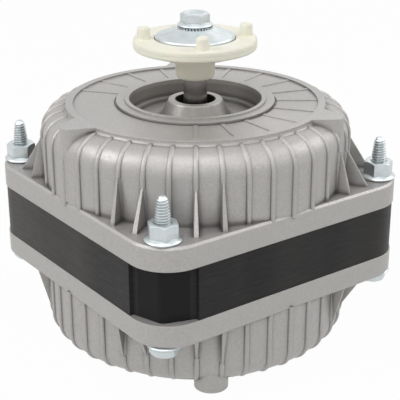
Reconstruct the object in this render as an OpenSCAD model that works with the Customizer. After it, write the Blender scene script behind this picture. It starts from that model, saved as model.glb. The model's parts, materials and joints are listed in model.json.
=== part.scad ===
// Shaded-pole fan motor: two ribbed die-cast shields clamped on a square lamination stack.
// Millimetres, +Z along the shaft. The origin is on the shaft axis, in the plane of the three feet.

/* [Square body] */
// Side of the two square flanges
body_w = 85; // [84.6:0.2:88]
// Corner radius of the flanges
corner_r = 11; // [10.5:0.5:12]
// Thickness of each flange
flange_t = 6.4; // [6:0.1:8]
// Height of the lamination stack
stack_h = 14.6; // [12:0.2:24]
// Distance that the two cut corners of the stack are set back from the flange corners
stack_corner_inset = 1.5; // [1.2:0.1:1.8]
// Distance from a flange corner, along the side, at which a cut corner of the stack starts
stack_cut = 12.5; // [12:0.5:13.5]
// Distance of a clamp bolt from the two flange sides beside it
bolt_edge = 6.5; // [6.3:0.1:7]

/* [Ribbed drum] */
// Height of the drum from the flange's outer face to its rim
drum_h = 20.2; // [19.8:0.1:24]
// Radius of the rounded shoulder
shoulder_r = 6.5; // [6:0.1:7]
// Distance of the shoulder below the drum's flat top
shoulder_drop = 0.9; // [0.7:0.1:1]
// Casting wall
wall_t = 2.5; // [2.2:0.1:3]
// Number of ribs round the drum
rib_count = 40; // [40, 20]
// Width of a rib
rib_w = 1.5; // [1.3:0.1:1.8]
// Height of a rib above the drum's wall
rib_proud = 0.7; // [0.6:0.05:0.8]
// Thickness of the webs beside each bolt
web_t = 1.5; // [1.2:0.1:2]
// Distance of the raised rim from the drum's wall
rim_inset = 6.5; // [6.3:0.1:7]
// Width of the raised rim
rim_w = 2.1; // [1.8:0.1:2.4]
// Height of the rim above the drum's top
rim_lip = 0.5; // [0.3:0.1:0.8]
// Radius of the round recess in the drum's top
recess_r = 18.3; // [17.5:0.1:19]
// Depth of the recess below the drum's top
recess_depth = 4.5; // [4:0.1:4.8]
// Outer radius of the neck's top, in the middle of the recess
neck_r = 7.4; // [7.2:0.1:8]
// Height of the neck above the recess floor
neck_h = 5.1; // [4.6:0.1:5.4]
// Radius of the hole in the neck
neck_hole_r = 5.5; // [5.2:0.1:5.9]

/* [Feet] */
// Distance of a foot's middle from the drum's wall
foot_inset = 5.3; // [5.2:0.1:5.8]
// Diameter of a foot
foot_d = 9.2; // [8.6:0.1:9.3]
// Distance that the feet stand out below the drum
foot_proud = 0.9; // [0.6:0.1:6]
// Diameter of the tapped hole in each foot
foot_hole_d = 3.3; // [3.2:0.1:4.2]
// Depth of the tapped hole
foot_hole_depth = 9; // [7:0.5:10]

/* [Lead outlet] */
// Diameter of the hole for the lead
lead_d = 5.2; // [4.4:0.2:6]
// Wall of the rubber grommet round the lead
grommet_wall = 1; // [0.8:0.1:1.4]
// Distance of the outlet from the lower flange
outlet_drop = 7.2; // [7:0.1:8.4]

/* [Clamp bolts] */
// Diameter of the clamp bolts
bolt_d = 4; // [3.8:0.1:4.2]
// Clearance round a bolt
bolt_clear = 0.25; // [0.15:0.05:0.4]
// Distance that a bolt's end stands above the upper flange
bolt_end = 11.6; // [8:0.2:14]
// Width across the flats of nuts and bolt heads
hex_w = 7; // [6.6:0.1:7.2]
// Diameter of the round flange of nuts and bolt heads
hex_flange_d = 9.6; // [9.2:0.1:10]
// Height of a nut with its flange
nut_h = 4.9; // [4:0.1:6]
// Height of a bolt head with its flange
bolt_head_h = 2.5; // [2.4:0.1:4.4]

/* [Shaft and bearings] */
// Diameter of the shaft
shaft_d = 6.5; // [6:0.1:6.6]
// Radial running clearance of the shaft in its bearings
bearing_clear = 0.03; // [0.02:0.01:0.06]
// Radial clearance between pieces that are pressed together
seat_clear = 0.03; // [0.02:0.01:0.05]
// Radius of the ball-shaped bearing
ball_r = 6.2; // [6:0.1:6.4]
// Length of the bearing
bearing_len = 8; // [7:0.2:8.4]
// End play of the rotor at each bearing
end_play = 0.15; // [0.1:0.05:0.3]

/* [Rotor and stator] */
// Distance from the rotor to the inside of the drum's wall
coil_space = 17.4; // [17:0.1:18]
// Gap between rotor and stator
air_gap = 0.4; // [0.35:0.05:0.5]
// Number of bars in the rotor's cage
bar_count = 22; // [16:1:24]
// Radius of a cage bar
bar_r = 1.25; // [1:0.05:1.4]
// Lean of the cage bars
bar_skew = 8; // [4:1:10]
// Height of the end rings of the cage
end_ring_h = 3.2; // [2.4:0.2:3.6]
// Width of a stator pole's neck
pole_w = 16; // [14:0.5:16.5]
// Thickness of a pole's shoe
shoe_t = 2.8; // [2.6:0.1:3.2]
// Thickness of a winding beside its pole
winding_t = 4.6; // [3:0.2:4.8]

/* [Fan hub] */
// Radius of the hub's disc
hub_r = 16.8; // [16.4:0.1:18]
// Height of the disc's top above the upper flange
hub_top = 36.6; // [36:0.2:42]
// Thickness of the disc at its edge
hub_edge_h = 1.7; // [1.4:0.1:2.4]
// Radius of the hub's sleeve
sleeve_r = 5.4; // [5.2:0.1:6]
// Length of the sleeve below the disc's top
sleeve_len = 10.2; // [9:0.2:11]
// Number of pegs that hold the fan
peg_count = 4; // [3, 4]
// Diameter of a peg
peg_d = 3.5; // [3:0.1:3.8]
// Diameter of the circle of pegs
peg_circle = 28; // [27.4:0.2:28.4]
// Height of a peg above the disc
peg_h = 4.4; // [3.4:0.2:6]
// Turn of the first peg about the shaft
peg_turn = -28; // [-45:1:45]
// Radius of the dished washer
washer_r = 10.9; // [10:0.1:11.4]
// Thickness of the washer
washer_t = 1.1; // [0.8:0.1:1.4]
// Rise of the washer from its edge to its middle
washer_rise = 2.2; // [1.6:0.1:2.6]

/* [Hidden] */
$fn = 96;
eps = 0.01;
half = body_w / 2;
bolt_xy = half - bolt_edge;
bolt_circle_r = bolt_xy * sqrt(2);
bolt_r = bolt_d / 2;
shaft_r = shaft_d / 2;
diagonals = [45, 135, 225, 315];
foot_turns = [-90, 30, 150];
flange_chamfer = 0.6;

// Shield, measured upwards from its mating face
rib_overhang = 0.5;
rib_root = 1;
rib_bend_drop = 0.4;
rib_crest = 0.45;
drum_r = half + rib_overhang - rib_proud;
cavity_r = drum_r - wall_t;
rim_z = flange_t + drum_h;
top_z = rim_z - rim_lip;
shoulder_cr = drum_r - shoulder_r;
shoulder_cz = top_z - shoulder_drop - shoulder_r;
roof_z = shoulder_cz + shoulder_r - wall_t;
rim_r = drum_r - rim_inset;
rim_in_r = rim_r - rim_w;
rim_fillet = 1.1;
foot_circle_r = drum_r - foot_inset;
tongue_nose_r = 3;
tongue_reach = drum_r + 0.3;
tongue_side_angle = 24;
web_near_turn = 9;
web_near_reach = bolt_circle_r - 2;
web_near_h = 9.6;
web_far_turn = 18;
web_far_reach = drum_r + 3.7;
web_far_h = 11.5;

// Terraces round the recess, and the shallow spokes on the drum's top
ring_w = 3.6;
ring_h = 1.1;
ring_step_w = 1.2;
ring_step_h = 0.4;
groove_w = 0.5;
groove_depth = 0.35;
spoke_step = 18;
spoke_first = -36;
spoke_last = 216;
spoke_w = 1.2;
spoke_h = 0.22;

// Recess, neck and bearing pocket
floor_z = top_z - recess_depth;
floor_under_z = floor_z - wall_t;
ledge_w = 1.7;
ledge_h = 1.15;
neck_top_z = floor_z + neck_h;
neck_base_r = neck_r + 2.6;
neck_well_depth = 4.1;
throat_r = shaft_r + 1.15;
bearing_z = floor_under_z - 6.9;
bush_end_z = bearing_z - bearing_len / 2;
ball_seat_gap = 0.05;
seat_ring_r = ball_r + 1.2;
seat_ring_z = bearing_z + 2.4;
pocket_r = ball_r + 3.4;
pocket_top_z = bearing_z + 4.5;
skirt_r = pocket_r + 2.2;
skirt_end_z = bearing_z - 3.3;
retainer_t = 0.6;
retainer_z = bearing_z - 2.7;
retainer_slots = 6;
retainer_slot_w = 1.4;
felt_gap = 0.1;

// Heights in the whole motor
low_mate_z = foot_proud + rim_z;
up_mate_z = low_mate_z + stack_h;
low_face_z = low_mate_z - flange_t;
up_face_z = up_mate_z + flange_t;
core_mid_z = (low_mate_z + up_mate_z) / 2;

// Lead outlet in the lower shield, on the side at -X
outlet_pad_r = 6;
outlet_x = half + rib_overhang;
outlet_z = flange_t + outlet_drop;
grommet_neck_r = lead_d / 2 + grommet_wall;
grommet_lip_r = grommet_neck_r + grommet_wall;
grommet_lip_t = 1.1;
grommet_clear = 0.05;
grommet_in_gap = 0.4;

// Lamination stack
stack_gap = 0.2;
stack_half = half - stack_gap;
stack_flat = half - stack_cut;
corner_reach = (half - corner_r) * sqrt(2) + corner_r;
apex_r = 2.6;
apex_c = (corner_reach - stack_corner_inset - apex_r) / sqrt(2);
apex_slope = 18.5;
apex_tip = apex_c + apex_r * cos(apex_slope);
apex_side = apex_c + apex_r * sin(apex_slope);
step_at = apex_tip + (apex_side - stack_flat) * tan(apex_slope);

// Stator poles, bobbins and shading rings
rotor_r = cavity_r - coil_space;
stator_bore_r = rotor_r + air_gap;
shoe_r = stator_bore_r + shoe_t;
shoe_gap_angle = 8;
window_r = cavity_r - 1.2;
bobbin_wall = 0.8;
bobbin_slack = 0.1;
bobbin_lip = 0.4;
bobbin_in_x = shoe_r + 1.3;
bobbin_out_x = cavity_r - 5.1;
bobbin_hy = pole_w / 2 + bobbin_slack + bobbin_wall;
bobbin_hz = stack_h / 2 + bobbin_slack + bobbin_wall;
shade_w = 1.4;
shade_in_r = stator_bore_r + 0.15;
shade_slot_turn = 20;
shade_gap_turn = 42;
shade_leg_angle = 3.6;
shade_slot_margin = 0.4;
shade_clear = 0.1;

// Rotor
bar_circle_r = rotor_r - bar_r - 0.7;
end_ring_out_r = rotor_r - 0.4;
end_ring_inner_w = 5.5;
end_ring_in_r = bar_circle_r - bar_r - end_ring_inner_w;
collar_r = 5;
thrust_t = 0.5;
thrust_r = 5.4;
shaft_chamfer = 0.5;
shaft_low_z = low_mate_z - floor_under_z - 1;
hub_top_z = up_face_z + hub_top;
shaft_top_z = hub_top_z - 0.4;
cap_gap = 1.2;
cap_t = 0.6;
cap_h = 2.4;

// Fan hub, washer and screw
dish_h = 3.5;
dish_r = 11.5;
sleeve_chamfer = 0.7;
peg_round = 0.8;
washer_lift = 0.45;
washer_z = hub_top_z + washer_lift;
washer_flat_r = 5.2;
washer_seat_gap = 0.1;
boss_r = 9.2;
screw_r = 1.95;
screw_hole_r = 2;
screw_seat_z = washer_z + washer_rise + washer_t;
screw_head_h = 4;
screw_len = 11;
screw_hole_depth = 10;
hex_lip_h = 1.2;
hex_lip_taper = 0.6;
thread_chamfer = 0.8;
stud_gap = 0.05;

cast_metal = [0.70, 0.69, 0.67];
zinc = [0.80, 0.84, 0.87];
dark_iron = [0.22, 0.22, 0.24];
ivory = [0.94, 0.92, 0.86];
moulding = [0.86, 0.86, 0.82];
copper = [0.72, 0.42, 0.22];
steel = [0.55, 0.55, 0.55];
bronze = [0.62, 0.46, 0.27];
felt_grey = [0.75, 0.72, 0.66];
rubber_black = [0.10, 0.10, 0.10];

// Puts a piece on the upper or the lower shield, whose mating face is its zero
module on_upper() {
    translate([0, 0, up_mate_z]) children();
}
module on_lower() {
    translate([0, 0, low_mate_z]) rotate([180, 0, 0]) children();
}

// Round bar with a hole through it
module ring(outer_r, inner_r, height) {
    difference() {
        cylinder(r = outer_r, h = height);
        translate([0, 0, -1]) cylinder(r = inner_r, h = height + 2);
    }
}

// Rectangle with rounded corners, centred
module rounded_rectangle(width, depth, radius) {
    square([width, depth - 2 * radius], center = true);
    square([width - 2 * radius, depth], center = true);
    for (sx = [-1, 1], sy = [-1, 1])
        translate([sx * (width / 2 - radius), sy * (depth / 2 - radius)]) circle(r = radius);
}

// Half section of the drum's outside: wall, round shoulder, rim and the terraces round the recess
module drum_section() {
    square([shoulder_cr, top_z - shoulder_drop]);
    square([drum_r, shoulder_cz]);
    translate([shoulder_cr, shoulder_cz]) circle(r = shoulder_r);
    square([rim_in_r + eps, top_z]);
    translate([rim_in_r, shoulder_cz]) square([rim_w, rim_z - shoulder_cz]);
    difference() {
        translate([rim_r - eps, shoulder_cz]) square([rim_fillet + eps, top_z - shoulder_cz]);
        translate([rim_r + rim_fillet, top_z]) circle(r = rim_fillet);
    }
    square([recess_r + ring_w, top_z + ring_h - ring_step_h]);
    square([recess_r + ring_step_w, top_z + ring_h]);
}

// Half section of what is taken out of the drum: the space for the windings, the recess and the groove
module drum_hollow_section() {
    translate([0, -1]) square([cavity_r, shoulder_cz + 1]);
    translate([0, -1]) square([shoulder_cr, roof_z + 1]);
    translate([shoulder_cr, shoulder_cz]) circle(r = shoulder_r - wall_t);
    translate([0, floor_z + ledge_h]) square([recess_r, neck_h + ring_h]);
    translate([0, roof_z - eps]) square([recess_r - ledge_w, neck_h + recess_depth]);
    translate([recess_r + ring_w, top_z - groove_depth]) square([groove_w, 1]);
}

// Half section of the recess floor, its wall and the bearing skirt
module neck_section() {
    translate([0, floor_under_z]) square([recess_r + eps, floor_z - floor_under_z]);
    translate([recess_r - ledge_w, floor_under_z]) square([wall_t + ledge_w, floor_z + ledge_h - floor_under_z]);
    translate([recess_r, floor_z]) square([wall_t, roof_z - floor_z + eps]);
    translate([0, skirt_end_z]) square([skirt_r, floor_z - skirt_end_z - eps]);
    polygon([[0, floor_z - eps], [neck_base_r, floor_z - eps], [neck_r, neck_top_z], [0, neck_top_z]]);
}

// Half section of the bores in the neck: bearing pocket, ball seat, throat and well
module neck_bore_section() {
    translate([0, skirt_end_z - 1]) square([pocket_r, seat_ring_z - skirt_end_z + 1]);
    translate([seat_ring_r, seat_ring_z - eps]) square([pocket_r - seat_ring_r, pocket_top_z - seat_ring_z]);
    intersection() {
        translate([0, bearing_z]) circle(r = ball_r + ball_seat_gap);
        translate([0, skirt_end_z]) square([2 * ball_r, neck_top_z]);
    }
    square([throat_r, neck_top_z + 1]);
    translate([0, neck_top_z - neck_well_depth]) square([neck_hole_r, neck_well_depth + 1]);
}

// One rib: a round bar that starts in the flange and goes up the wall and over the shoulder into the rim
module rib(turn) {
    bar_r = drum_r + rib_proud - rib_w / 2;
    bend_z = shoulder_cz - rib_bend_drop;
    bend_r = top_z - shoulder_drop + rib_crest - rib_w / 2 - bend_z;
    rotate([0, 0, turn]) {
        translate([bar_r, 0, flange_t - rib_root]) cylinder(d = rib_w, h = bend_z - flange_t + rib_root, $fn = 24);
        translate([bar_r - bend_r, 0, bend_z]) rotate([90, 0, 0]) rotate_extrude(angle = 90)
            translate([bend_r, 0]) circle(d = rib_w, $fn = 24);
    }
}

// Web that slopes from the drum down to the flange, beside a bolt
module web(turn, reach, height) {
    rotate([0, 0, turn]) translate([0, web_t / 2, flange_t]) rotate([90, 0, 0]) linear_extrude(web_t) polygon([
        [drum_r - wall_t / 2, -1], [reach, -1], [reach, 0],
        [drum_r + rib_proud, height], [drum_r - wall_t / 2, height]
    ]);
}

// Square plate with round corners and a chamfer round its outer face
module flange_plate() {
    wall_h = flange_t - flange_chamfer;
    for (turn = [0, 90]) rotate([90, 0, turn]) linear_extrude(body_w - 2 * corner_r, center = true) polygon([
        [-half, 0], [half, 0], [half, wall_h], [half - flange_chamfer, flange_t],
        [-half + flange_chamfer, flange_t], [-half, wall_h]
    ]);
    for (sx = [-1, 1], sy = [-1, 1]) translate([sx * (half - corner_r), sy * (half - corner_r), 0]) {
        cylinder(r = corner_r, h = wall_h);
        translate([0, 0, wall_h]) cylinder(r1 = corner_r, r2 = corner_r - flange_chamfer, h = flange_chamfer);
    }
}

// The three round feet of the lower casting
module feet() {
    for (a = foot_turns) rotate([0, 0, a]) difference() {
        translate([foot_circle_r, 0, flange_t]) cylinder(d = foot_d, h = drum_h + foot_proud);
        translate([0, 0, top_z]) cylinder(r = foot_circle_r - foot_d, h = rim_lip + foot_proud + 1);
    }
}

// The three tongues of the upper casting, in the same places. They are level with the rim.
module tongues() {
    nose_x = tongue_reach - tongue_nose_r;
    side = [nose_x + tongue_nose_r * sin(tongue_side_angle), tongue_nose_r * cos(tongue_side_angle)];
    root_x = rim_in_r + rim_w / 4;
    root_y = side[1] + (side[0] - root_x) * tan(tongue_side_angle);
    for (a = foot_turns) rotate([0, 0, a]) translate([0, 0, flange_t]) linear_extrude(drum_h) {
        polygon([[root_x, -root_y], [side[0], -side[1]], side, [root_x, root_y]]);
        translate([nose_x, 0]) circle(r = tongue_nose_r);
    }
}

// One die-cast shield, standing on its mating face
module shield() {
    difference() {
        union() {
            flange_plate();
            rotate_extrude() drum_section();
            for (i = [0 : rib_count - 1]) rib(i * 360 / rib_count);
            for (d = diagonals, s = [-1, 1]) {
                web(d + s * web_near_turn, web_near_reach, web_near_h);
                web(d + s * web_far_turn, web_far_reach, web_far_h);
            }
            children();
            for (a = [spoke_first : spoke_step : spoke_last]) rotate([0, 0, a])
                translate([recess_r + ring_w / 2, -spoke_w / 2, top_z - 1])
                    cube([rim_in_r - recess_r - ring_w / 2 + eps, spoke_w, 1 + spoke_h]);
        }
        rotate_extrude() drum_hollow_section();
        for (sx = [-1, 1], sy = [-1, 1]) translate([sx * bolt_xy, sy * bolt_xy, -1])
            cylinder(r = bolt_r + bolt_clear, h = flange_t + 2);
    }
    rotate_extrude() difference() {
        neck_section();
        neck_bore_section();
    }
}

module upper_shield() {
    color(cast_metal) on_upper() shield() tongues();
}

// The same casting upside down, with taller drilled feet and a round pad for the lead outlet
module lower_shield() {
    color(cast_metal) on_lower() difference() {
        union() {
            shield() feet();
            translate([-outlet_x, 0, outlet_z]) rotate([0, 90, 0])
                cylinder(r = outlet_pad_r, h = outlet_x - cavity_r - eps);
        }
        translate([-outlet_x - 1, 0, outlet_z]) rotate([0, 90, 0])
            cylinder(r = grommet_neck_r + grommet_clear, h = outlet_x - cavity_r + rib_proud + 1);
        translate([-outlet_x - 1, 0, outlet_z]) rotate([0, 90, 0])
            cylinder(r = grommet_lip_r + grommet_clear, h = 1 + grommet_lip_t);
        for (a = foot_turns) rotate([0, 0, a])
            translate([foot_circle_r, 0, rim_z + foot_proud - foot_hole_depth])
                cylinder(d = foot_hole_d, h = foot_hole_depth + 1);
    }
}

// Outline of one lamination: two opposite corners are round, the other two set back behind small steps
function turned(p, q) = q == 0 ? p : turned([-p[1], p[0]], q - 1);
module lamination_outline() {
    round_c = stack_half - corner_r;
    round_corner = [[stack_half, round_c], [round_c, stack_half]];
    cut_corner = [
        [stack_half, stack_flat], [step_at, stack_flat], [apex_tip, apex_side],
        [apex_side, apex_tip], [stack_flat, step_at], [stack_flat, stack_half]
    ];
    polygon([for (q = [0 : 3], p = (q % 2 == 0 ? round_corner : cut_corner)) turned(p, q)]);
    for (s = [-1, 1]) {
        translate([s * round_c, s * round_c]) circle(r = corner_r);
        translate([s * apex_c, -s * apex_c]) circle(r = apex_r);
    }
}

// Sector of a ring in plan, from one turn to another
module ring_sector(inner_r, outer_r, from_turn, angle, height) {
    rotate([0, 0, from_turn]) rotate_extrude(angle = angle)
        translate([inner_r, 0]) square([outer_r - inner_r, height]);
}

module stator_core() {
    color(dark_iron) translate([0, 0, low_mate_z]) difference() {
        linear_extrude(stack_h) difference() {
            lamination_outline();
            circle(r = stator_bore_r);
            difference() {
                circle(r = window_r);
                circle(r = shoe_r);
                square([2 * half, pole_w], center = true);
                square([pole_w, 2 * half], center = true);
            }
            for (sx = [-1, 1], sy = [-1, 1]) translate([sx * bolt_xy, sy * bolt_xy]) circle(r = bolt_r + bolt_clear);
        }
        for (d = diagonals) translate([0, 0, -1])
            ring_sector(stator_bore_r - 1, shoe_r + 1, d - shoe_gap_angle / 2, shoe_gap_angle, stack_h + 2);
        for (q = [0 : 3]) translate([0, 0, -1]) ring_sector(
            stator_bore_r - 1, shade_in_r + shade_w + shade_clear,
            q * 90 + shade_slot_turn - shade_slot_margin, shade_leg_angle + 2 * shade_slot_margin, stack_h + 2);
    }
}

// Spool moulded round one pole's neck
module bobbin(pole) {
    lip_y = bobbin_hy + winding_t + bobbin_lip;
    lip_z = bobbin_hz + winding_t + bobbin_lip;
    reach = bobbin_out_x - bobbin_in_x;
    color(moulding) translate([0, 0, core_mid_z]) rotate([0, 0, pole * 90]) translate([bobbin_in_x, 0, 0]) difference() {
        union() {
            translate([reach / 2, 0, 0]) cube([reach, 2 * bobbin_hy, 2 * bobbin_hz], center = true);
            for (x = [0, reach - bobbin_wall])
                translate([x, -lip_y, -lip_z]) cube([bobbin_wall, 2 * lip_y, 2 * lip_z]);
        }
        cube([3 * reach, pole_w + 2 * bobbin_slack, stack_h + 2 * bobbin_slack], center = true);
    }
}

// Copper winding on its spool
module winding(pole) {
    start = bobbin_in_x + bobbin_wall + bobbin_slack;
    width = bobbin_out_x - bobbin_in_x - 2 * bobbin_wall - 2 * bobbin_slack;
    color(copper) translate([0, 0, core_mid_z]) rotate([0, 0, pole * 90]) translate([start, 0, 0])
        rotate([90, 0, 90]) linear_extrude(width) difference() {
            rounded_rectangle(2 * (bobbin_hy + winding_t), 2 * (bobbin_hz + winding_t), winding_t);
            square([2 * (bobbin_hy + bobbin_slack), 2 * (bobbin_hz + bobbin_slack)], center = true);
        }
}

// Closed copper loop round the tip of one pole's shoe
module shading_ring(pole) {
    angle = shade_gap_turn + shade_leg_angle - shade_slot_turn;
    out_r = shade_in_r + shade_w;
    window_h = stack_h + 2 * shade_clear;
    color(copper) translate([0, 0, low_mate_z - shade_clear]) rotate([0, 0, pole * 90]) difference() {
        translate([0, 0, -shade_w]) ring_sector(shade_in_r, out_r, shade_slot_turn, angle, window_h + 2 * shade_w);
        ring_sector(shade_in_r - 1, out_r + 1, shade_slot_turn + shade_leg_angle, angle - 2 * shade_leg_angle, window_h);
    }
}

// Ball-shaped sintered bearing that lines itself up with the shaft
module ball_bearing_bush() {
    color(bronze) translate([0, 0, bearing_z]) rotate_extrude() intersection() {
        circle(r = ball_r);
        translate([shaft_r + bearing_clear, -bearing_len / 2]) square([ball_r, bearing_len]);
    }
}

module felt_ring() {
    start = retainer_z + retainer_t + felt_gap;
    color(felt_grey) translate([0, 0, start]) ring(pocket_r - felt_gap, ball_r + felt_gap, seat_ring_z - felt_gap - start);
}

// Sprung steel plate that holds the bearing in its seat
module retainer() {
    hole_r = sqrt(ball_r * ball_r - pow(bearing_z - retainer_z - retainer_t, 2)) + ball_seat_gap;
    color(steel) translate([0, 0, retainer_z]) difference() {
        ring(pocket_r - seat_clear, hole_r, retainer_t);
        for (i = [0 : retainer_slots - 1]) rotate([0, 0, i * 360 / retainer_slots])
            translate([0, -retainer_slot_w / 2, -1]) cube([(pocket_r + hole_r) / 2, retainer_slot_w, retainer_t + 2]);
    }
}

// Pressed steel cap in the lower neck, over the shaft's end
module dust_cap() {
    color(steel) on_lower() translate([0, 0, neck_top_z - cap_gap - cap_h]) difference() {
        cylinder(r = neck_hole_r - seat_clear, h = cap_h);
        translate([0, 0, -cap_t]) cylinder(r = neck_hole_r - seat_clear - cap_t, h = cap_h);
    }
}

// Rubber grommet that lines the lead outlet
module lead_grommet() {
    inner_x = -cavity_r + grommet_in_gap;
    color(rubber_black) on_lower() translate([0, 0, outlet_z]) rotate([0, 90, 0]) difference() {
        union() {
            translate([0, 0, -outlet_x]) cylinder(r = grommet_lip_r, h = grommet_lip_t - grommet_clear);
            translate([0, 0, -outlet_x]) cylinder(r = grommet_neck_r, h = outlet_x + inner_x + grommet_lip_t);
            translate([0, 0, inner_x]) cylinder(r = grommet_lip_r, h = grommet_lip_t);
        }
        translate([0, 0, -outlet_x - 1]) cylinder(d = lead_d, h = half);
    }
}

// Hexagon on a round flange, standing on its seat, with its top corners turned off
module flanged_hexagon(height) {
    cylinder(d1 = hex_flange_d, d2 = hex_flange_d - 2 * hex_lip_taper, h = hex_lip_h);
    intersection() {
        cylinder(d = hex_w / cos(30), h = height, $fn = 6);
        cylinder(r1 = hex_w / 2 + 1.6 * height, r2 = hex_w / 2, h = height);
    }
}

// Bolt shank that ends in a chamfer
module shank(radius, length) {
    cylinder(r = radius, h = length - thread_chamfer);
    translate([0, 0, length - thread_chamfer - eps])
        cylinder(r1 = radius, r2 = radius - thread_chamfer * 0.6, h = thread_chamfer + eps);
}

module at_bolt(number) {
    rotate([0, 0, diagonals[number - 1]]) translate([bolt_circle_r, 0, 0]) children();
}

// Long bolt, a little thinner below the nut's top than at its free end
module clamp_bolt(number) {
    free_end_z = up_face_z + nut_h + stud_gap;
    color(zinc) at_bolt(number) {
        translate([0, 0, low_face_z]) mirror([0, 0, 1]) flanged_hexagon(bolt_head_h);
        translate([0, 0, low_face_z - 1]) cylinder(r = bolt_r - seat_clear, h = free_end_z - low_face_z + 2);
        translate([0, 0, free_end_z]) shank(bolt_r, bolt_end - nut_h - stud_gap);
    }
}

module clamp_nut(number) {
    color(zinc) at_bolt(number) translate([0, 0, up_face_z]) difference() {
        flanged_hexagon(nut_h);
        translate([0, 0, -1]) cylinder(r = bolt_r, h = nut_h + 2);
    }
}

module shaft() {
    color(steel) difference() {
        union() {
            translate([0, 0, shaft_low_z]) cylinder(r1 = shaft_r - shaft_chamfer, r2 = shaft_r, h = shaft_chamfer);
            translate([0, 0, shaft_low_z + shaft_chamfer])
                cylinder(r = shaft_r, h = shaft_top_z - shaft_low_z - shaft_chamfer);
        }
        translate([0, 0, shaft_top_z - screw_hole_depth]) cylinder(r = screw_hole_r, h = screw_hole_depth + 1);
    }
}

// Places the cage bars, which lean a little round the rotor
module at_bars() {
    for (i = [0 : bar_count - 1]) rotate([0, 0, i * 360 / bar_count])
        translate([bar_circle_r, 0, core_mid_z]) rotate([bar_skew, 0, 0]) children();
}

module rotor_core() {
    color(dark_iron) difference() {
        translate([0, 0, low_mate_z]) ring(rotor_r, shaft_r + seat_clear, stack_h);
        at_bars() cylinder(r = bar_r + seat_clear, h = 2 * stack_h, center = true);
    }
}

// Cast cage: two end rings joined by the bars
module rotor_cage() {
    bar_len = (stack_h + end_ring_h) / cos(bar_skew);
    color(cast_metal) {
        translate([0, 0, up_mate_z]) ring(end_ring_out_r, end_ring_in_r, end_ring_h);
        translate([0, 0, low_mate_z - end_ring_h]) ring(end_ring_out_r, end_ring_in_r, end_ring_h);
        at_bars() cylinder(r = bar_r, h = bar_len, center = true);
    }
}

// Collar on the shaft that sets the rotor between its bearings
module collar() {
    color(steel) ring(collar_r, shaft_r + seat_clear, bush_end_z - end_play - thrust_t);
}

module thrust_washer() {
    color(moulding) translate([0, 0, bush_end_z - end_play - thrust_t])
        ring(thrust_r, shaft_r + seat_clear, thrust_t);
}

// Height of the washer's under face above the hub's disc, at a radius
function washer_under(r) = washer_lift + washer_rise * (washer_r - max(r, washer_flat_r)) / (washer_r - washer_flat_r);

// Peg with a rounded end, standing on the disc
module peg() {
    rotate_extrude() {
        square([peg_d / 2 - peg_round, peg_h]);
        translate([0, -1]) square([peg_d / 2, peg_h - peg_round + 1]);
        intersection() {
            translate([peg_d / 2 - peg_round, peg_h - peg_round]) circle(r = peg_round, $fn = 32);
            square([peg_d / 2, peg_h]);
        }
    }
}

// Moulded hub: dished disc with a sleeve below, a coned middle under the washer and pegs for the fan
module fan_hub() {
    color(ivory) translate([0, 0, hub_top_z]) {
        rotate_extrude() difference() {
            polygon([
                [0, washer_under(0) - washer_seat_gap], [washer_flat_r, washer_under(0) - washer_seat_gap],
                [boss_r, washer_under(boss_r) - washer_seat_gap], [boss_r, 0],
                [hub_r, 0], [hub_r, -hub_edge_h], [dish_r, -dish_h], [sleeve_r, -dish_h],
                [sleeve_r, -sleeve_len + sleeve_chamfer], [sleeve_r - sleeve_chamfer, -sleeve_len], [0, -sleeve_len]
            ]);
            translate([0, -sleeve_len - 1]) square([shaft_r + seat_clear, sleeve_len + washer_under(0) + 2]);
        }
        for (i = [0 : peg_count - 1]) rotate([0, 0, peg_turn + i * 360 / peg_count])
            translate([peg_circle / 2, 0, 0]) peg();
    }
}

// Steel washer pressed to a shallow cone
module hub_washer() {
    color(zinc) translate([0, 0, washer_z]) rotate_extrude() polygon([
        [bolt_r + bolt_clear, washer_rise], [washer_flat_r, washer_rise], [washer_r, 0],
        [washer_r, washer_t], [washer_flat_r, washer_rise + washer_t], [bolt_r + bolt_clear, washer_rise + washer_t]
    ]);
}

module hub_screw() {
    color(zinc) translate([0, 0, screw_seat_z]) {
        flanged_hexagon(screw_head_h);
        translate([0, 0, 1]) mirror([0, 0, 1]) shank(screw_r, screw_len + 1);
    }
}

upper_shield();
lower_shield();
stator_core();
bobbin(0);  // bobbin_1
bobbin(1);  // bobbin_2
bobbin(2);  // bobbin_3
bobbin(3);  // bobbin_4
winding(0);  // winding_1
winding(1);  // winding_2
winding(2);  // winding_3
winding(3);  // winding_4
shading_ring(0);  // shading_ring_1
shading_ring(1);  // shading_ring_2
shading_ring(2);  // shading_ring_3
shading_ring(3);  // shading_ring_4
on_upper() ball_bearing_bush();  // upper_bearing
on_lower() ball_bearing_bush();  // lower_bearing
on_upper() felt_ring();  // upper_felt
on_lower() felt_ring();  // lower_felt
on_upper() retainer();  // upper_retainer
on_lower() retainer();  // lower_retainer
dust_cap();
lead_grommet();
clamp_bolt(1);  // clamp_bolt_1
clamp_bolt(2);  // clamp_bolt_2
clamp_bolt(3);  // clamp_bolt_3
clamp_bolt(4);  // clamp_bolt_4
clamp_nut(1);  // clamp_nut_1
clamp_nut(2);  // clamp_nut_2
clamp_nut(3);  // clamp_nut_3
clamp_nut(4);  // clamp_nut_4
shaft();
rotor_core();
rotor_cage();
on_upper() collar();  // upper_collar
on_lower() collar();  // lower_collar
on_upper() thrust_washer();  // upper_thrust_washer
on_lower() thrust_washer();  // lower_thrust_washer
fan_hub();
hub_washer();
hub_screw();
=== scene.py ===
"""Looks of a shaded-pole fan motor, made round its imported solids. Metres, in the frame of the solids."""

import json
import math

import bmesh
import bpy
from mathutils import Matrix, Vector


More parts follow.
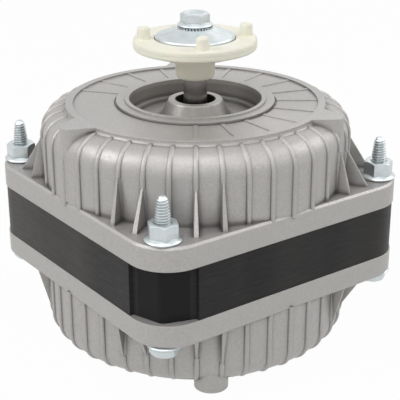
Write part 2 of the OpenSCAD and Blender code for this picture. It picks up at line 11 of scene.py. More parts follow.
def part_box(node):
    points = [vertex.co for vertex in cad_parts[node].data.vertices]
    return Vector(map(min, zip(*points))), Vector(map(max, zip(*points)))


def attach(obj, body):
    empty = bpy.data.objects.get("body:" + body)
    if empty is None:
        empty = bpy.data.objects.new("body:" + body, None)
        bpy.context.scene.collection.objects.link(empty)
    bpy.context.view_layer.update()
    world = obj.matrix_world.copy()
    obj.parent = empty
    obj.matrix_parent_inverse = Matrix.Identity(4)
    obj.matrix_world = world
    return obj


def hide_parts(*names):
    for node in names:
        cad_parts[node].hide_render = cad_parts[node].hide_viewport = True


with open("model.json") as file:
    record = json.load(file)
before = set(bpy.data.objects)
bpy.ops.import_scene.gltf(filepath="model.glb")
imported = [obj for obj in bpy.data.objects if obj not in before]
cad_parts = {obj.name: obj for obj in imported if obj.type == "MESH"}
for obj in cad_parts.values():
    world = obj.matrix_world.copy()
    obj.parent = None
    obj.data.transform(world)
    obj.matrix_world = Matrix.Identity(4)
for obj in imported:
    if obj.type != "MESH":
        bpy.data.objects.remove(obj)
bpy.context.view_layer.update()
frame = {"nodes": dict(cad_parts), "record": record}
nodes = frame["nodes"]
MM = 0.001
MERGE = 0.002 * MM

# Heights that the finer pieces and the painted shade in the casting are set from
FLANGE_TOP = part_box("clamp_nut_1")[0].z
FLANGE_THICKNESS = FLANGE_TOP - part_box("upper_shield")[0].z
LOWER_FLANGE_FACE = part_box("lower_shield")[1].z - FLANGE_THICKNESS
DRUM_TOP = FLANGE_TOP + 19.7 * MM


# Mesh helpers

def piece_from(mesh, name, body, material):
    """A finished piece at the origin, riding on a body and taking its finish from a slot."""
    data = bpy.data.meshes.new(name)
    mesh.to_mesh(data)
    mesh.free()
    piece = bpy.data.objects.new(name, data)
    bpy.context.scene.collection.objects.link(piece)
    data.materials.append(material)
    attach(piece, body)
    return piece


def copy_of_node(name):
    """A merged copy of a solid's mesh, to be cut or joined with new detail."""
    mesh = bmesh.new()
    mesh.from_mesh(nodes[name].data)
    bmesh.ops.remove_doubles(mesh, verts=mesh.verts, dist=MERGE)
    return mesh


def smooth_by_angle(data, degrees):
    """Smooth shading that stays sharp along edges steeper than an angle."""
    mesh = bmesh.new()
    mesh.from_mesh(data)
    for face in mesh.faces:
        face.smooth = True
    limit = math.radians(degrees)
    for edge in mesh.edges:
        edge.smooth = len(edge.link_faces) == 2 and edge.calc_face_angle(math.pi) < limit
    mesh.to_mesh(data)
    mesh.free()


def rounded_edges(piece, width, degrees=32, segments=2):
    """Welds a loose solid and rounds its edges with modifiers, which leave its mesh as it is."""
    weld = piece.modifiers.new("weld", "WELD")
    weld.merge_threshold = MERGE
    bevel = piece.modifiers.new("edge", "BEVEL")
    bevel.width = width
    bevel.segments = segments
    bevel.limit_method = "ANGLE"
    bevel.angle_limit = math.radians(degrees)
    bevel.harden_normals = True
    bevel.use_clamp_overlap = True


def cut_across(mesh, height, **cleared):
    """Cuts a mesh at a height, drops one side of it and closes the hole."""
    cut = bmesh.ops.bisect_plane(mesh, geom=mesh.verts[:] + mesh.edges[:] + mesh.faces[:], dist=MERGE / 4,
                                 plane_co=(0, 0, height), plane_no=(0, 0, 1), **cleared)
    open_edges = [edge for edge in cut["geom_cut"] if isinstance(edge, bmesh.types.BMEdge)]
    bmesh.ops.edgeloop_fill(mesh, edges=open_edges)


# Material helpers

class Finish:
    """A procedural material: a Principled shader with colour, roughness and relief from nodes."""

    def __init__(self, name, **constants):
        self.material = bpy.data.materials.new(name)
        self.material.use_nodes = True
        self.tree = self.material.node_tree
        self.shader = self.tree.nodes["Principled BSDF"]
        for socket, value in constants.items():
            self.shader.inputs[socket.replace("_", " ")].default_value = value
        self.place = self.tree.nodes.new("ShaderNodeTexCoord").outputs["Object"]

    def node(self, kind, inputs=None, **settings):
        """A new shader node, with links or values on its inputs."""
        made = self.tree.nodes.new("ShaderNode" + kind)
        for key, value in settings.items():
            setattr(made, key, value)
        for key, value in (inputs or {}).items():
            if isinstance(value, bpy.types.NodeSocket):
                self.tree.links.new(value, made.inputs[key])
            else:
                made.inputs[key].default_value = value
        return made

    def stretched(self, scale):
        """Object coordinates, scaled along each axis."""
        return self.node("Mapping", {"Vector": self.place, "Scale": scale}).outputs["Vector"]

    def noise(self, scale, detail=4.0, place=None):
        """Cloudy noise, with its scale in waves per metre."""
        made = self.node("TexNoise", {"Vector": place or self.place, "Scale": scale, "Detail": detail})
        return made.outputs["Fac"]

    def span(self, value, low, high, from_low=0.3, from_high=0.7):
        """A value spread over a new range."""
        return self.node("MapRange", {"Value": value, "From Min": from_low, "From Max": from_high,
                                      "To Min": low, "To Max": high}).outputs["Result"]

    def maths(self, operation, one, two=0.0):
        """Two values, or one, put through a sum."""
        return self.node("Math", {0: one, 1: two}, operation=operation).outputs[0]

    def between(self, factor, first, second):
        """A colour between two, by a factor."""
        made = self.tree.nodes.new("ShaderNodeMix")
        made.data_type = "RGBA"
        self.tree.links.new(factor, made.inputs["Factor"])
        for socket, value in ((made.inputs[6], first), (made.inputs[7], second)):
            if isinstance(value, bpy.types.NodeSocket):
                self.tree.links.new(value, socket)
            else:
                socket.default_value = (*value, 1.0)
        return made.outputs[2]

    def open_share(self, reach):
        """How open the surface is within a reach: low in inner corners, 1 on plain faces."""
        return self.node("AmbientOcclusion", {"Distance": reach}, samples=8, only_local=True).outputs["AO"]

    def colour(self, socket):
        """Takes the surface's colour from a node."""
        self.tree.links.new(socket, self.shader.inputs["Base Color"])

    def roughness(self, socket):
        """Takes the surface's roughness from a node."""
        self.tree.links.new(socket, self.shader.inputs["Roughness"])

    def relief(self, height, depth, strength=1.0, edge=0.0):
        """Fine relief, and edges softened over a radius."""
        inputs = {"Height": height, "Distance": depth, "Strength": strength}
        if edge:
            inputs["Normal"] = self.node("Bevel", {"Radius": edge}, samples=6).outputs["Normal"]
        bump = self.node("Bump", inputs)
        self.tree.links.new(bump.outputs["Normal"], self.shader.inputs["Normal"])


# Distances from the shaft between which the painted shade of the holes comes and goes
RECESS_WALL = (17.6 * MM, 18.1 * MM, 18.4 * MM, 18.6 * MM)
NECK_EDGE = (10.4 * MM, 11.6 * MM)
BORE_WALL = (5.60 * MM, 5.75 * MM)


def cast_aluminium():
    """Sandy as-cast metal, with painted shade in inner corners, in the recess round the neck and in the bore
    round the shaft.
    """
    f = Finish("cast_aluminium", Metallic=0.48, Specular_IOR_Level=0.5)
    patches = f.noise(60.0, 5.0)
    mottle = f.noise(620.0, 2.0)
    grain = f.noise(1700.0, 3.0)
    specks = f.noise(5200.0, 2.0)
    metal = f.between(f.span(patches, 0.0, 1.0), (0.405, 0.389, 0.371), (0.450, 0.433, 0.419))
    metal = f.between(f.span(mottle, 0.0, 0.30), metal, (0.33, 0.315, 0.30))
    metal = f.between(f.span(grain, 0.0, 0.65), metal, (0.35, 0.335, 0.315))
    metal = f.between(f.span(specks, 0.0, 0.38), metal, (0.70, 0.69, 0.68))
    axes = f.node("SeparateXYZ", {"Vector": f.place}).outputs
    height = axes["Z"]
    from_shaft = f.maths("SQRT", f.maths("ADD", f.maths("MULTIPLY", axes["X"], axes["X"]),
                                         f.maths("MULTIPLY", axes["Y"], axes["Y"])))
    # Painted shade: the casting is darkened where the surface is closed in within 9 mm, in recesses and other
    # hollows.
    hollow = f.open_share(9.0 * MM)
    metal = f.between(f.span(hollow, 0.60, 0.0, 0.0, 0.75), metal, (0.13, 0.122, 0.110))
    # Painted shade on the recess's inner wall, below the top face.
    below_top = f.span(height, 1.0, 0.0, DRUM_TOP - 0.3 * MM, DRUM_TOP + 0.2 * MM)
    on_wall = f.maths("MULTIPLY", f.span(from_shaft, 0.0, 0.40, *RECESS_WALL[:2]),
                      f.span(from_shaft, 1.0, 0.0, *RECESS_WALL[2:]))
    metal = f.between(f.maths("MULTIPLY", on_wall, below_top), metal, (0.12, 0.112, 0.10))
    # Painted shade on the neck's cone inside the recess.
    below_neck_top = f.span(height, 1.0, 0.0, DRUM_TOP + 0.1 * MM, DRUM_TOP + 0.5 * MM)
    neck = f.maths("MULTIPLY", f.span(from_shaft, 0.6, 0.0, *NECK_EDGE), below_neck_top)
    metal = f.between(neck, metal, (0.15, 0.142, 0.13))
    # Painted shade: the bore's wall round the shaft is made nearly black.
    metal = f.between(f.span(from_shaft, 1.0, 0.0, *BORE_WALL), metal, (0.022, 0.020, 0.018))
    # Painted shade in inner corners and in the creases beside the ribs, weaker on the top face.
    corner = f.open_share(1.5 * MM)
    shade_strength_by_height = f.span(height, 1.0, 0.35, DRUM_TOP - 0.5 * MM, DRUM_TOP - 0.2 * MM)
    line = f.maths("MULTIPLY", f.span(corner, 0.95, 0.0, 0.45, 0.95), shade_strength_by_height)
    f.colour(f.between(line, metal, (0.10, 0.095, 0.09)))
    f.roughness(f.maths("ADD", f.span(grain, 0.38, 0.50), f.span(patches, -0.03, 0.04)))
    f.relief(f.maths("ADD", grain, f.span(patches, 0.0, 1.5)), 0.035 * MM, 0.8, edge=0.3 * MM)
    return f.material


SHEET_THICKNESS = 0.5 * MM
CUT_CORNER = (72.1 * MM, 72.4 * MM)


def lamination_steel():
    """Varnished sheets on each other, smoother and darker on the two cut corners."""
    f = Finish("lamination_steel", Specular_IOR_Level=0.16)
    axes = f.node("SeparateXYZ", {"Vector": f.place}).outputs
    layer = f.maths("MULTIPLY", axes["Z"], 1.0 / SHEET_THICKNESS)
    number = f.node("TexWhiteNoise", {"W": f.maths("FLOOR", layer)}, noise_dimensions="1D").outputs["Value"]
    seam = f.maths("PINGPONG", layer, 0.5)
    streaks = f.noise(220.0, 4.0, f.stretched((1.0, 1.0, 9.0)))
    bands = f.noise(45.0, 3.0, f.stretched((1.0, 1.0, 0.05)))
    across = f.maths("ABSOLUTE", f.maths("SUBTRACT", axes["X"], axes["Y"]))
    corner = f.span(across, 0.0, 1.0, *CUT_CORNER)
    sheet = f.between(number, (0.0190, 0.0182, 0.0182), (0.0265, 0.0252, 0.0250))
    sheet = f.between(f.span(streaks, 0.0, 0.75), sheet, (0.0130, 0.0127, 0.0130))
    # Painted light: a sheen on the side faces, lighter towards -X and a little towards +Y, broken up by the
    # bands.
    painted_sheen = f.maths("ADD", f.span(axes["X"], 0.75, 0.0, -44.0 * MM, 30.0 * MM),
                   f.span(axes["Y"], 0.0, 0.22, -20.0 * MM, 44.0 * MM))
    sheet = f.between(f.maths("ADD", painted_sheen, f.span(bands, -0.08, 0.18)), sheet, (0.100, 0.094, 0.087))
    varnish = f.between(f.span(bands, 0.0, 1.0), (0.0060, 0.0062, 0.0070), (0.0100, 0.0102, 0.0110))
    f.colour(f.between(corner, sheet, varnish))
    rough = f.maths("ADD", f.span(number, 0.0, 0.08, 0.0, 1.0), f.span(streaks, 0.40, 0.50))
    f.roughness(f.maths("SUBTRACT", rough, f.maths("MULTIPLY", corner, 0.08)))
    lines = f.maths("ADD", f.span(seam, 0.0, 0.7, 0.0, 0.12), f.maths("MULTIPLY", number, 0.35))
    f.relief(f.maths("ADD", lines, f.maths("MULTIPLY", streaks, 0.5)), 0.02 * MM, 0.6, edge=0.1 * MM)
    return f.material


def zinc_steel():
    """Zinc plating: bluish, a little clouded, with painted shade where faces meet inside a corner."""
    f = Finish("zinc_steel", Metallic=0.9, Specular_IOR_Level=0.6)
    cloud = f.noise(420.0, 4.0)
    fine = f.noise(3200.0, 2.0)
    plated = f.between(f.span(cloud, 0.0, 1.0), (0.65, 0.69, 0.70), (0.53, 0.58, 0.59))
    # Painted shade in inner corners, within 0.7 mm.
    f.colour(f.between(f.span(f.open_share(0.7 * MM), 0.85, 0.0, 0.3, 0.9), plated, (0.09, 0.11, 0.12)))
    f.roughness(f.maths("ADD", f.span(cloud, 0.30, 0.40), f.span(fine, -0.02, 0.03)))
    f.relief(f.maths("ADD", fine, cloud), 0.006 * MM, 0.6, edge=0.12 * MM)
    return f.material


def turned_steel(name, light, dark, rough):
    """Ground or turned steel, with fine rings round its axis."""
    f = Finish(name, Metallic=1.0)
    rings = f.noise(900.0, 3.0, f.stretched((0.15, 0.15, 9.0)))
    stain = f.noise(180.0, 4.0)
    f.colour(f.between(f.span(stain, 0.0, 1.0), light, dark))
    f.roughness(f.maths("ADD", f.span(rings, rough - 0.05, rough + 0.06), f.span(stain, 0.0, 0.05)))
    f.relief(rings, 0.006 * MM, 0.6, edge=0.1 * MM)
    return f.material


def moulded_plastic(name, light, dark, rough, glow):
    """Moulded plastic that lets a share of the light in under its skin, the glow."""
    f = Finish(name, Specular_IOR_Level=0.45, Subsurface_Weight=glow, Subsurface_Scale=0.6 * MM)
    swirl = f.noise(90.0, 4.0)
    grain = f.noise(2200.0, 3.0)
    f.colour(f.between(f.span(swirl, 0.0, 1.0), light, dark))
    f.roughness(f.maths("ADD", f.span(grain, rough - 0.04, rough + 0.05), f.span(swirl, 0.0, 0.04)))
    f.relief(grain, 0.012 * MM, 0.5, edge=0.25 * MM)
    return f.material


def coloured_metal(name, light, dark, rough, pits):
    """Copper, bronze or cage aluminium, with pits of a given scale."""
    f = Finish(name, Metallic=0.9)
    cloud = f.noise(200.0, 4.0)
    grain = f.noise(pits, 3.0)
    f.colour(f.between(f.span(cloud, 0.0, 1.0), light, dark))
    f.roughness(f.maths("ADD", f.span(grain, rough - 0.06, rough + 0.06), f.span(cloud, 0.0, 0.05)))
    f.relief(grain, 0.02 * MM, 0.8)
    return f.material


def winding_copper():
    """Enamelled wire: turns that run round the pole, seen as fine round ridges, with painted shade in the
    grooves between them.
    """
    f = Finish("winding_copper", Metallic=0.7, Coat_Weight=0.5, Coat_Roughness=0.2)
    wave = f.node("TexWave", {"Vector": f.place, "Scale": 420.0, "Distortion": 1.2, "Detail": 1.0},
                  bands_direction="DIAGONAL").outputs["Fac"]
    cloud = f.noise(300.0, 3.0)
    # Painted shade: the colour follows the same waves as the relief, darker in the grooves between turns.
    f.colour(f.between(wave, (0.30, 0.09, 0.03), (0.55, 0.20, 0.07)))
    f.roughness(f.span(cloud, 0.26, 0.40))
    f.relief(wave, 0.12 * MM, 0.9)
    return f.material


def soft_matter(name, light, dark, fibre, depth, rough):
    """Felt or rubber."""
    f = Finish(name, Specular_IOR_Level=0.3)
    hair = f.noise(fibre, 6.0)
    f.colour(f.between(f.span(hair, 0.0, 1.0), light, dark))
    f.roughness(f.span(hair, rough - 0.05, rough + 0.08))
    f.relief(hair, depth, 0.9)
    return f.material


finishes = {
    "cast_aluminium": cast_aluminium(),
    "lamination_steel": lamination_steel(),
    "zinc_steel": zinc_steel(),
    "shaft_steel": turned_steel("shaft_steel", (0.30, 0.28, 0.265), (0.22, 0.205, 0.195), 0.30),
    "spring_steel": turned_steel("spring_steel", (0.36, 0.35, 0.34), (0.28, 0.27, 0.26), 0.34),
    "hub_plastic": moulded_plastic("hub_plastic", (0.97, 0.945, 0.80), (0.93, 0.90, 0.75), 0.42, 0.15),
    "bobbin_plastic": moulded_plastic("bobbin_plastic", (0.70, 0.69, 0.62), (0.62, 0.61, 0.54), 0.5, 0.0),
    "washer_plastic": moulded_plastic("washer_plastic", (0.65, 0.62, 0.55), (0.58, 0.55, 0.48), 0.5, 0.0),
    "winding_copper": winding_copper(),
    "shading_copper": coloured_metal("shading_copper", (0.62, 0.28, 0.14), (0.42, 0.17, 0.08), 0.34, 900.0),
    "bearing_bronze": coloured_metal("bearing_bronze", (0.42, 0.28, 0.13), (0.32, 0.20, 0.09), 0.42, 2600.0),
    "cage_aluminium": coloured_metal("cage_aluminium", (0.56, 0.55, 0.53), (0.46, 0.45, 0.43), 0.42, 1400.0),
    "oil_felt": soft_matter("oil_felt", (0.50, 0.45, 0.36), (0.34, 0.30, 0.24), 1800.0, 0.12 * MM, 0.9),
    "grommet_rubber": soft_matter("grommet_rubber", (0.018, 0.018, 0.018), (0.030, 0.030, 0.030), 700.0,
                                  0.02 * MM, 0.62),
}
for part in frame["record"]["subparts"]:
    data = nodes[part["node"]].data
    data.materials.clear()
    data.materials.append(finishes[part["material_slot"]])

# Rounded edges on what the photograph shows close to the camera
rounded_edges(nodes["hub_washer"], 0.4 * MM, segments=3)
rounded_edges(nodes["fan_hub"], 0.35 * MM, segments=3)
rounded_edges(nodes["lead_grommet"], 0.2 * MM)
rounded_edges(nodes["dust_cap"], 0.12 * MM)


# Castings: the webs beside the bolts get slimmer away from the flange, so that they leave the mould

WALL_RADIUS = 42.3 * MM
WEB_HALF = 0.75 * MM
WEBS = ((9, 9.6 * MM), (18, 11.5 * MM))
SHARE_AT_FLANGE = 0.85
SHARE_LOST = 0.5


def drafted_casting(name, made_name, seat_z, way):
    """A copy of a casting with slimmer webs. The way is 1 or -1, for webs above or below the seat."""
    mesh = copy_of_node(name)
    for diagonal in (45, 135, 225, 315):
        for away, height in WEBS:
            for side in (-1, 1):
                turn = math.radians(diagonal + side * away)
                for vert in mesh.verts:
                    up = (vert.co.z - seat_z) * way
                    out = vert.co.x * math.cos(turn) + vert.co.y * math.sin(turn)
                    across = vert.co.y * math.cos(turn) - vert.co.x * math.sin(turn)
                    on_side = abs(abs(across) - WEB_HALF) < 0.02 * MM
                    if -0.01 * MM < up < height + 0.01 * MM and out > WALL_RADIUS + 0.6 * MM and on_side:
                        share = SHARE_AT_FLANGE - SHARE_LOST * up / height
                        vert.co.x += across * (1 - share) * math.sin(turn)
                        vert.co.y -= across * (1 - share) * math.cos(turn)
    casting = piece_from(mesh, made_name, "stator", finishes["cast_aluminium"])
    smooth_by_angle(casting.data, 28)
    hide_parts(name)


drafted_casting("upper_shield", "upper_casting", FLANGE_TOP, 1)
drafted_casting("lower_shield", "lower_casting", LOWER_FLANGE_FACE, -1)


# Screw threads, each made by spinning the outline of one turn up the bolt

THREAD_PITCH = 0.7 * MM
THREAD_DEPTH = 0.30 * MM
TAPER_LENGTH = 5.2 * MM
TAPER_SLOPE = 0.12
POINT_LENGTH = 1.3 * MM
POINT_NARROWING = 0.7 * MM
STEPS_PER_TURN = 20


def from_axis(vert, centre):
    """A vertex's distance and direction from an upright axis."""
    away = Vector((vert.co.x - centre.x, vert.co.y - centre.y))
    return away.length, away.normalized()


def set_from_axis(vert, centre, distance, direction):
    """Moves a vertex to a distance and direction from an upright axis."""
    vert.co.xy = (centre.x + distance * direction.x, centre.y + distance * direction.y)


def threaded_end(centre, radius, bottom, top):
    """A screw thread from bottom to top, slimmer towards its rounded point."""
    mesh = bmesh.new()
    root = radius - THREAD_DEPTH
    turns = math.ceil((top - bottom) / THREAD_PITCH) + 1
    profile = ((root, 0.0), (root, 0.12), (radius, 0.40), (radius, 0.60), (root, 0.88), (root, 1.0))
    ring = [mesh.verts.new((centre.x + r, centre.y, bottom + (share - 1) * THREAD_PITCH))
            for r, share in profile]
    edges = [mesh.edges.new(pair) for pair in zip(ring, ring[1:])]
    bmesh.ops.spin(mesh, geom=ring + edges, cent=(centre.x, centre.y, 0), axis=(0, 0, 1),
                   angle=math.tau * turns, steps=STEPS_PER_TURN * turns,
                   dvec=(0, 0, THREAD_PITCH / STEPS_PER_TURN))
    bmesh.ops.remove_doubles(mesh, verts=mesh.verts, dist=MERGE)
    for vert in mesh.verts:
        distance, direction = from_axis(vert, centre)
        below = max(0.0, top - vert.co.z)
        crest = radius - TAPER_SLOPE * max(0.0, TAPER_LENGTH - below)
        crest -= POINT_NARROWING * max(0.0, 1.0 - below / POINT_LENGTH) ** 2
        depth = (radius - distance) * min(1.0, below / POINT_LENGTH)
        set_from_axis(vert, centre, crest - depth, direction)
    cut_across(mesh, bottom, clear_inner=True)
    cut_across(mesh, top, clear_outer=True)
    bmesh.ops.recalc_face_normals(mesh, faces=mesh.faces)
    return mesh


def join(mesh, other):
    """Moves one mesh's faces into another."""
    data = bpy.data.meshes.new("joined")
    other.to_mesh(data)
    other.free()
    mesh.from_mesh(data)
    bpy.data.meshes.remove(data)


# Flange nuts and screw heads: a hexagon with a coned top on a rounded flange

HEXAGON_WIDTH = 7.0 * MM
STEPS_ROUND = 72
# Round the flange's edge: how far past its radius and above its seat, in millimetres
FLANGE_EDGE = ((-0.55, 0.0), (-0.22, 0.14), (-0.03, 0.36), (0.0, 0.52), (-0.06, 0.66), (-0.30, 0.84))
SLOPE_END = (0.75 * MM, 1.02 * MM)
LEDGE = 1.35 * MM
TOP_CHAMFER = 0.12 * MM
# How much lower a corner ends than the middle of a flat, as a share of how far it stands out
LEDGE_FALL = 0.45
TOP_FALL = 0.62
# Hollows in the top: radius and depth in millimetres
NUT_HOLE = ((2.45, 0.0), (1.95, 0.35), (1.2, 0.9), (0.0, 0.9))
SCREW_DIMPLE = ((2.7, 0.0), (2.35, 0.12), (1.9, 0.5), (0.0, 0.62))
NO_HOLLOW = ((0.0, 0.0),)


def hexagon_reach(direction, turn):
    """Distance from the hexagon's middle to its side, in a direction, with a corner at the turn."""
    off = (math.atan2(direction.y, direction.x) - turn) % (math.pi / 3) - math.pi / 6
    return HEXAGON_WIDTH / 2 / math.cos(off)


def flanged_hexagon(centre, bottom, top, flange, hollow, turn):
    """A hexagon on a round flange, with a hollow in its top and a corner at the turn."""
    side = HEXAGON_WIDTH / 2
    ledge = bottom + LEDGE
    profile = [(0.0, bottom)]
    profile += [(flange + out * MM, bottom + up * MM) for out, up in FLANGE_EDGE]
    profile += [(side + SLOPE_END[0], bottom + SLOPE_END[1]), (side, ledge), (side, top),
                (side - TOP_CHAMFER, top)]
    profile += [(radius * MM, top - depth * MM) for radius, depth in hollow]
    mesh = bmesh.new()
    ring = [mesh.verts.new((centre.x + r * math.cos(turn), centre.y + r * math.sin(turn), z))
            for r, z in profile]
    edges = [mesh.edges.new(pair) for pair in zip(ring, ring[1:])]
    bmesh.ops.spin(mesh, geom=ring + edges, cent=(centre.x, centre.y, 0), axis=(0, 0, 1), angle=math.tau,
                   steps=STEPS_ROUND)
    bmesh.ops.remove_doubles(mesh, verts=mesh.verts, dist=MERGE)
    for vert in mesh.verts:
        distance, direction = from_axis(vert, centre)
        if abs(distance - side) < 0.001 * MM:
            reach = hexagon_reach(direction, turn)
            set_from_axis(vert, centre, reach, direction)
            if vert.co.z < ledge + 0.1 * MM:
                vert.co.z -= (reach - side) * LEDGE_FALL
            else:
                vert.co.z -= (reach - side + TOP_CHAMFER) * TOP_FALL
    bmesh.ops.recalc_face_normals(mesh, faces=mesh.faces)
    return mesh


FRONT_NUT_TURN = -27
for number in range(1, 5):
    name = f"clamp_nut_{number}"
    low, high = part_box(name)
    centre = (low + high) / 2
    turn = math.radians(FRONT_NUT_TURN if centre.x > 0 > centre.y else 0)
    mesh = flanged_hexagon(centre, low.z, high.z, (high.x - low.x) / 2, NUT_HOLE, turn)
    nut = piece_from(mesh, f"flange_nut_{number}", "stator", finishes["zinc_steel"])
    smooth_by_angle(nut.data, 32)
    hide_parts(name)


# Clamp bolts: the solid's plain shank, with a cut thread above the nut's seat and a head below the flange

BOLT_HEAD_HEIGHT = 3.3 * MM
BOLT_RADIUS = 2.0 * MM
OVERLAP = 0.3 * MM
THREAD_START = FLANGE_TOP + 1.0 * MM
for number in range(1, 5):
    name = f"clamp_bolt_{number}"
    low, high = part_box(name)
    centre = (low + high) / 2
    mesh = copy_of_node(name)
    cut_across(mesh, THREAD_START, clear_outer=True)
    cut_across(mesh, LOWER_FLANGE_FACE + OVERLAP, clear_inner=True)
    join(mesh, threaded_end(centre, BOLT_RADIUS, THREAD_START - OVERLAP, high.z))
    head = flanged_hexagon(centre, 0.0, BOLT_HEAD_HEIGHT, (high.x - low.x) / 2, NO_HOLLOW, 0.0)
    for vert in head.verts:
        vert.co.z = LOWER_FLANGE_FACE - vert.co.z
    bmesh.ops.recalc_face_normals(head, faces=head.faces)
    join(mesh, head)
    bolt = piece_from(mesh, f"threaded_bolt_{number}", "stator", finishes["zinc_steel"])
    smooth_by_angle(bolt.data, 28)
    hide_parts(name)


# Hub screw: the same kind of head with a shallow dimple on top, toothed under its flange

TEETH = 34
TOOTH = Vector((0.9, 0.42, 0.4)) * MM
HUB_SCREW_TURN = -12
HEAD_LIFT = 0.28 * MM
SHANK_RADIUS = 1.95 * MM


def screw_teeth(centre, reach, bottom):
    """Teeth under the screw's flange, which bite into the washer."""
    mesh = bmesh.new()
    tooth = bmesh.ops.create_cube(mesh, size=1.0)["verts"]
    bmesh.ops.scale(mesh, vec=TOOTH, verts=tooth)
    bmesh.ops.translate(mesh, vec=(reach - 0.5 * MM, 0, bottom + TOOTH.z / 2), verts=tooth)
    bmesh.ops.spin(mesh, geom=mesh.verts[:] + mesh.edges[:] + mesh.faces[:], cent=centre, axis=(0, 0, 1),
                   angle=math.tau * (TEETH - 1) / TEETH, steps=TEETH - 1, use_duplicate=True)
    bmesh.ops.recalc_face_normals(mesh, faces=mesh.faces)
    return mesh


def make_hub_screw():
    """The screw that holds the washer and the fan on the shaft."""
    low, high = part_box("hub_screw")
    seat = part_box("hub_washer")[1].z
    centre = Vector((0, 0, 0))
    reach = (high.x - low.x) / 2
    mesh = flanged_hexagon(centre, seat + HEAD_LIFT, high.z, reach, SCREW_DIMPLE, math.radians(HUB_SCREW_TURN))
    join(mesh, screw_teeth(centre, reach, seat))
    shank_top = seat + 0.6 * MM
    shank = bmesh.new()
    bmesh.ops.create_cone(shank, cap_ends=True, segments=32, radius1=SHANK_RADIUS, radius2=SHANK_RADIUS,
                          depth=shank_top - low.z, matrix=Matrix.Translation((0, 0, (shank_top + low.z) / 2)))
    join(mesh, shank)
    screw = piece_from(mesh, "toothed_hub_screw", "rotor", finishes["zinc_steel"])
    smooth_by_angle(screw.data, 32)
    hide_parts("hub_screw")


make_hub_screw()


# Thick edge of the hub's disc, which stands round the washer as high as its rim

RIM_GAP = 0.1 * MM
RIM_RISE = 0.55 * MM
RIM_DEPTH = 0.9 * MM
RIM_ROUNDING = 0.7 * MM
RIM_CHAMFER = 0.25 * MM


def hub_rim():
    """A ring with a rounded outer edge, laid on the disc of the hub."""
    washer_low, washer_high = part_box("hub_washer")
    inner, outer = washer_high.x + RIM_GAP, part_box("fan_hub")[1].x + 0.02 * MM
    floor_z, top_z = washer_low.z - RIM_DEPTH, washer_low.z + RIM_RISE
    profile = [(inner, floor_z), (outer, floor_z)]
    for step in range(7):
        turn = math.radians(15 * step)
        profile.append((outer - RIM_ROUNDING * (1 - math.cos(turn)),
                        top_z - RIM_ROUNDING * (1 - math.sin(turn))))
    profile += [(inner + RIM_CHAMFER, top_z), (inner, top_z - RIM_CHAMFER), (inner, floor_z)]
    mesh = bmesh.new()
    ring = [mesh.verts.new((r, 0, z)) for r, z in profile]
    edges = [mesh.edges.new(pair) for pair in zip(ring, ring[1:])]
    bmesh.ops.spin(mesh, geom=ring + edges, cent=(0, 0, 0), axis=(0, 0, 1), angle=math.tau, steps=96)
    bmesh.ops.remove_doubles(mesh, verts=mesh.verts, dist=MERGE)
    bmesh.ops.recalc_face_normals(mesh, faces=mesh.faces)
    rim = piece_from(mesh, "hub_rim", "rotor", finishes["hub_plastic"])
    smooth_by_angle(rim.data, 32)


hub_rim()


# Floor, light and camera

def background_rays(tree):
    """1 for rays that show the background: from the camera, reflected or let through."""
    rays = tree.nodes.new("ShaderNodeLightPath").outputs
    shown = rays["Is Camera Ray"]
    for name in ("Is Glossy Ray", "Is Transmission Ray"):
        either = tree.nodes.new("ShaderNodeMath")
        either.operation = "MAXIMUM"
        tree.links.new(shown, either.inputs[0])
        tree.links.new(rays[name], either.inputs[1])
        shown = either.outputs[0]
    return shown


def stage_material():
    """Pale floor that the camera sees as white, with the object's shadow on it."""
    material = bpy.data.materials.new("pale_floor")
    material.use_nodes = True
    tree = material.node_tree
    tree.nodes.clear()
    out = tree.nodes.new("ShaderNodeOutputMaterial")
    matte = tree.nodes.new("ShaderNodeBsdfDiffuse")
    matte.inputs["Color"].default_value = (0.80, 0.80, 0.79, 1)
    white = tree.nodes.new("ShaderNodeEmission")
    white.inputs["Color"].default_value = (1, 1, 1, 1)
    white.inputs["Strength"].default_value = 1.0
    mix = tree.nodes.new("ShaderNodeMixShader")
    share = tree.nodes.new("ShaderNodeMath")
    share.operation = "MULTIPLY"
    share.inputs[1].default_value = 0.97
    tree.links.new(background_rays(tree), share.inputs[0])
    tree.links.new(share.outputs[0], mix.inputs["Fac"])
    tree.links.new(matte.outputs[0], mix.inputs[1])
    tree.links.new(white.outputs[0], mix.inputs[2])
    tree.links.new(mix.outputs[0], out.inputs["Surface"])
    return material


def floor():
    """A plain floor at the height of the feet."""
    mesh = bmesh.new()
    bmesh.ops.create_grid(mesh, x_segments=1, y_segments=1, size=3.0)
    data = bpy.data.meshes.new("floor")
    mesh.to_mesh(data)
    mesh.free()
    made = bpy.data.objects.new("floor", data)
    bpy.context.scene.collection.objects.link(made)
    data.materials.append(stage_material())


def sky(strength):
    """Even light from all round, seen by the camera and in reflections as a white room."""
    world = bpy.data.worlds.new("studio")
    bpy.context.scene.world = world
    world.use_nodes = True
    tree = world.node_tree
    tree.nodes.clear()
    out = tree.nodes.new("ShaderNodeOutputWorld")
    light = tree.nodes.new("ShaderNodeBackground")
    light.inputs["Color"].default_value = (0.96, 0.98, 1.0, 1)
    light.inputs["Strength"].default_value = strength
    white = tree.nodes.new("ShaderNodeBackground")
    white.inputs["Color"].default_value = (1, 1, 1, 1)
    white.inputs["Strength"].default_value = 1.0
    mix = tree.nodes.new("ShaderNodeMixShader")
    tree.links.new(background_rays(tree), mix.inputs["Fac"])
    tree.links.new(light.outputs[0], mix.inputs[1])
    tree.links.new(white.outputs[0], mix.inputs[2])
    tree.links.new(mix.outputs[0], out.inputs["Surface"])


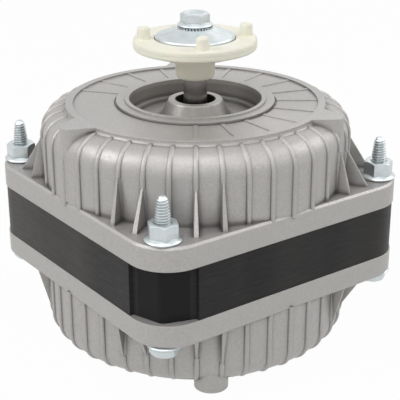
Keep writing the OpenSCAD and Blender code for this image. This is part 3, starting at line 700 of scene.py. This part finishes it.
def softbox(name, place, aim, width, height, power, colour=(1, 1, 1)):
    """A square lamp at a place, turned to what it lights, with its power in watts."""
    lamp = bpy.data.lights.new(name, "AREA")
    lamp.shape = "RECTANGLE"
    lamp.size = width
    lamp.size_y = height
    lamp.energy = power
    lamp.color = colour
    made = bpy.data.objects.new(name, lamp)
    bpy.context.scene.collection.objects.link(made)
    made.location = place
    made.rotation_mode = "QUATERNION"
    made.rotation_quaternion = (Vector(aim) - Vector(place)).to_track_quat("-Z", "Y")


def camera(turn, away, height, down, yaw, roll, lens):
    """The photograph's camera: beside the shaft's axis at a turn and distance, looking down at it."""
    turn, down, yaw, roll = (math.radians(v) for v in (turn, down, yaw, roll))
    out = Vector((math.cos(turn), math.sin(turn), 0))
    side = Vector((-math.sin(turn), math.cos(turn), 0))
    across = side * math.cos(yaw) + out * math.sin(yaw)
    level = side * math.sin(yaw) - out * math.cos(yaw)
    ahead = level * math.cos(down) - Vector((0, 0, math.sin(down)))
    up = level * math.sin(down) + Vector((0, 0, math.cos(down)))
    right = across * math.cos(roll) + up * math.sin(roll)
    top = up * math.cos(roll) - across * math.sin(roll)
    lens_data = bpy.data.cameras.new("camera")
    lens_data.lens = lens
    lens_data.sensor_width = 36.0
    lens_data.clip_start = 0.01
    made = bpy.data.objects.new("camera", lens_data)
    bpy.context.scene.collection.objects.link(made)
    made.matrix_world = Matrix.Translation(out * away + Vector((0, 0, height))) @ Matrix(
        (right, top, -ahead)).transposed().to_4x4()
    bpy.context.scene.camera = made


floor()
sky(0.18)
middle = (0, 0, 0.03)
softbox("left_light", (-0.283, -0.777, 0.676), middle, 0.5, 0.5, 4.0)
softbox("front_light", (0.608, -0.676, 0.555), middle, 0.5, 0.5, 1.0)
softbox("right_light", (0.841, 0.179, 0.632), middle, 0.6, 0.6, 1.2)
softbox("far_right_light", (0.294, 0.808, 0.632), middle, 0.6, 0.6, 2.8)
softbox("far_left_light", (-0.553, 0.659, 0.632), middle, 0.6, 0.6, 0.5)
softbox("top_light", (0.346, -0.251, 0.989), middle, 0.7, 0.7, 3.1, (0.955, 0.945, 1.0))
camera(turn=-36.103, away=0.29180, height=FLANGE_TOP + 0.10871, down=22.136, yaw=0.239, roll=-0.136,
       lens=98.951)
bpy.context.scene.view_settings.view_transform = "Standard"
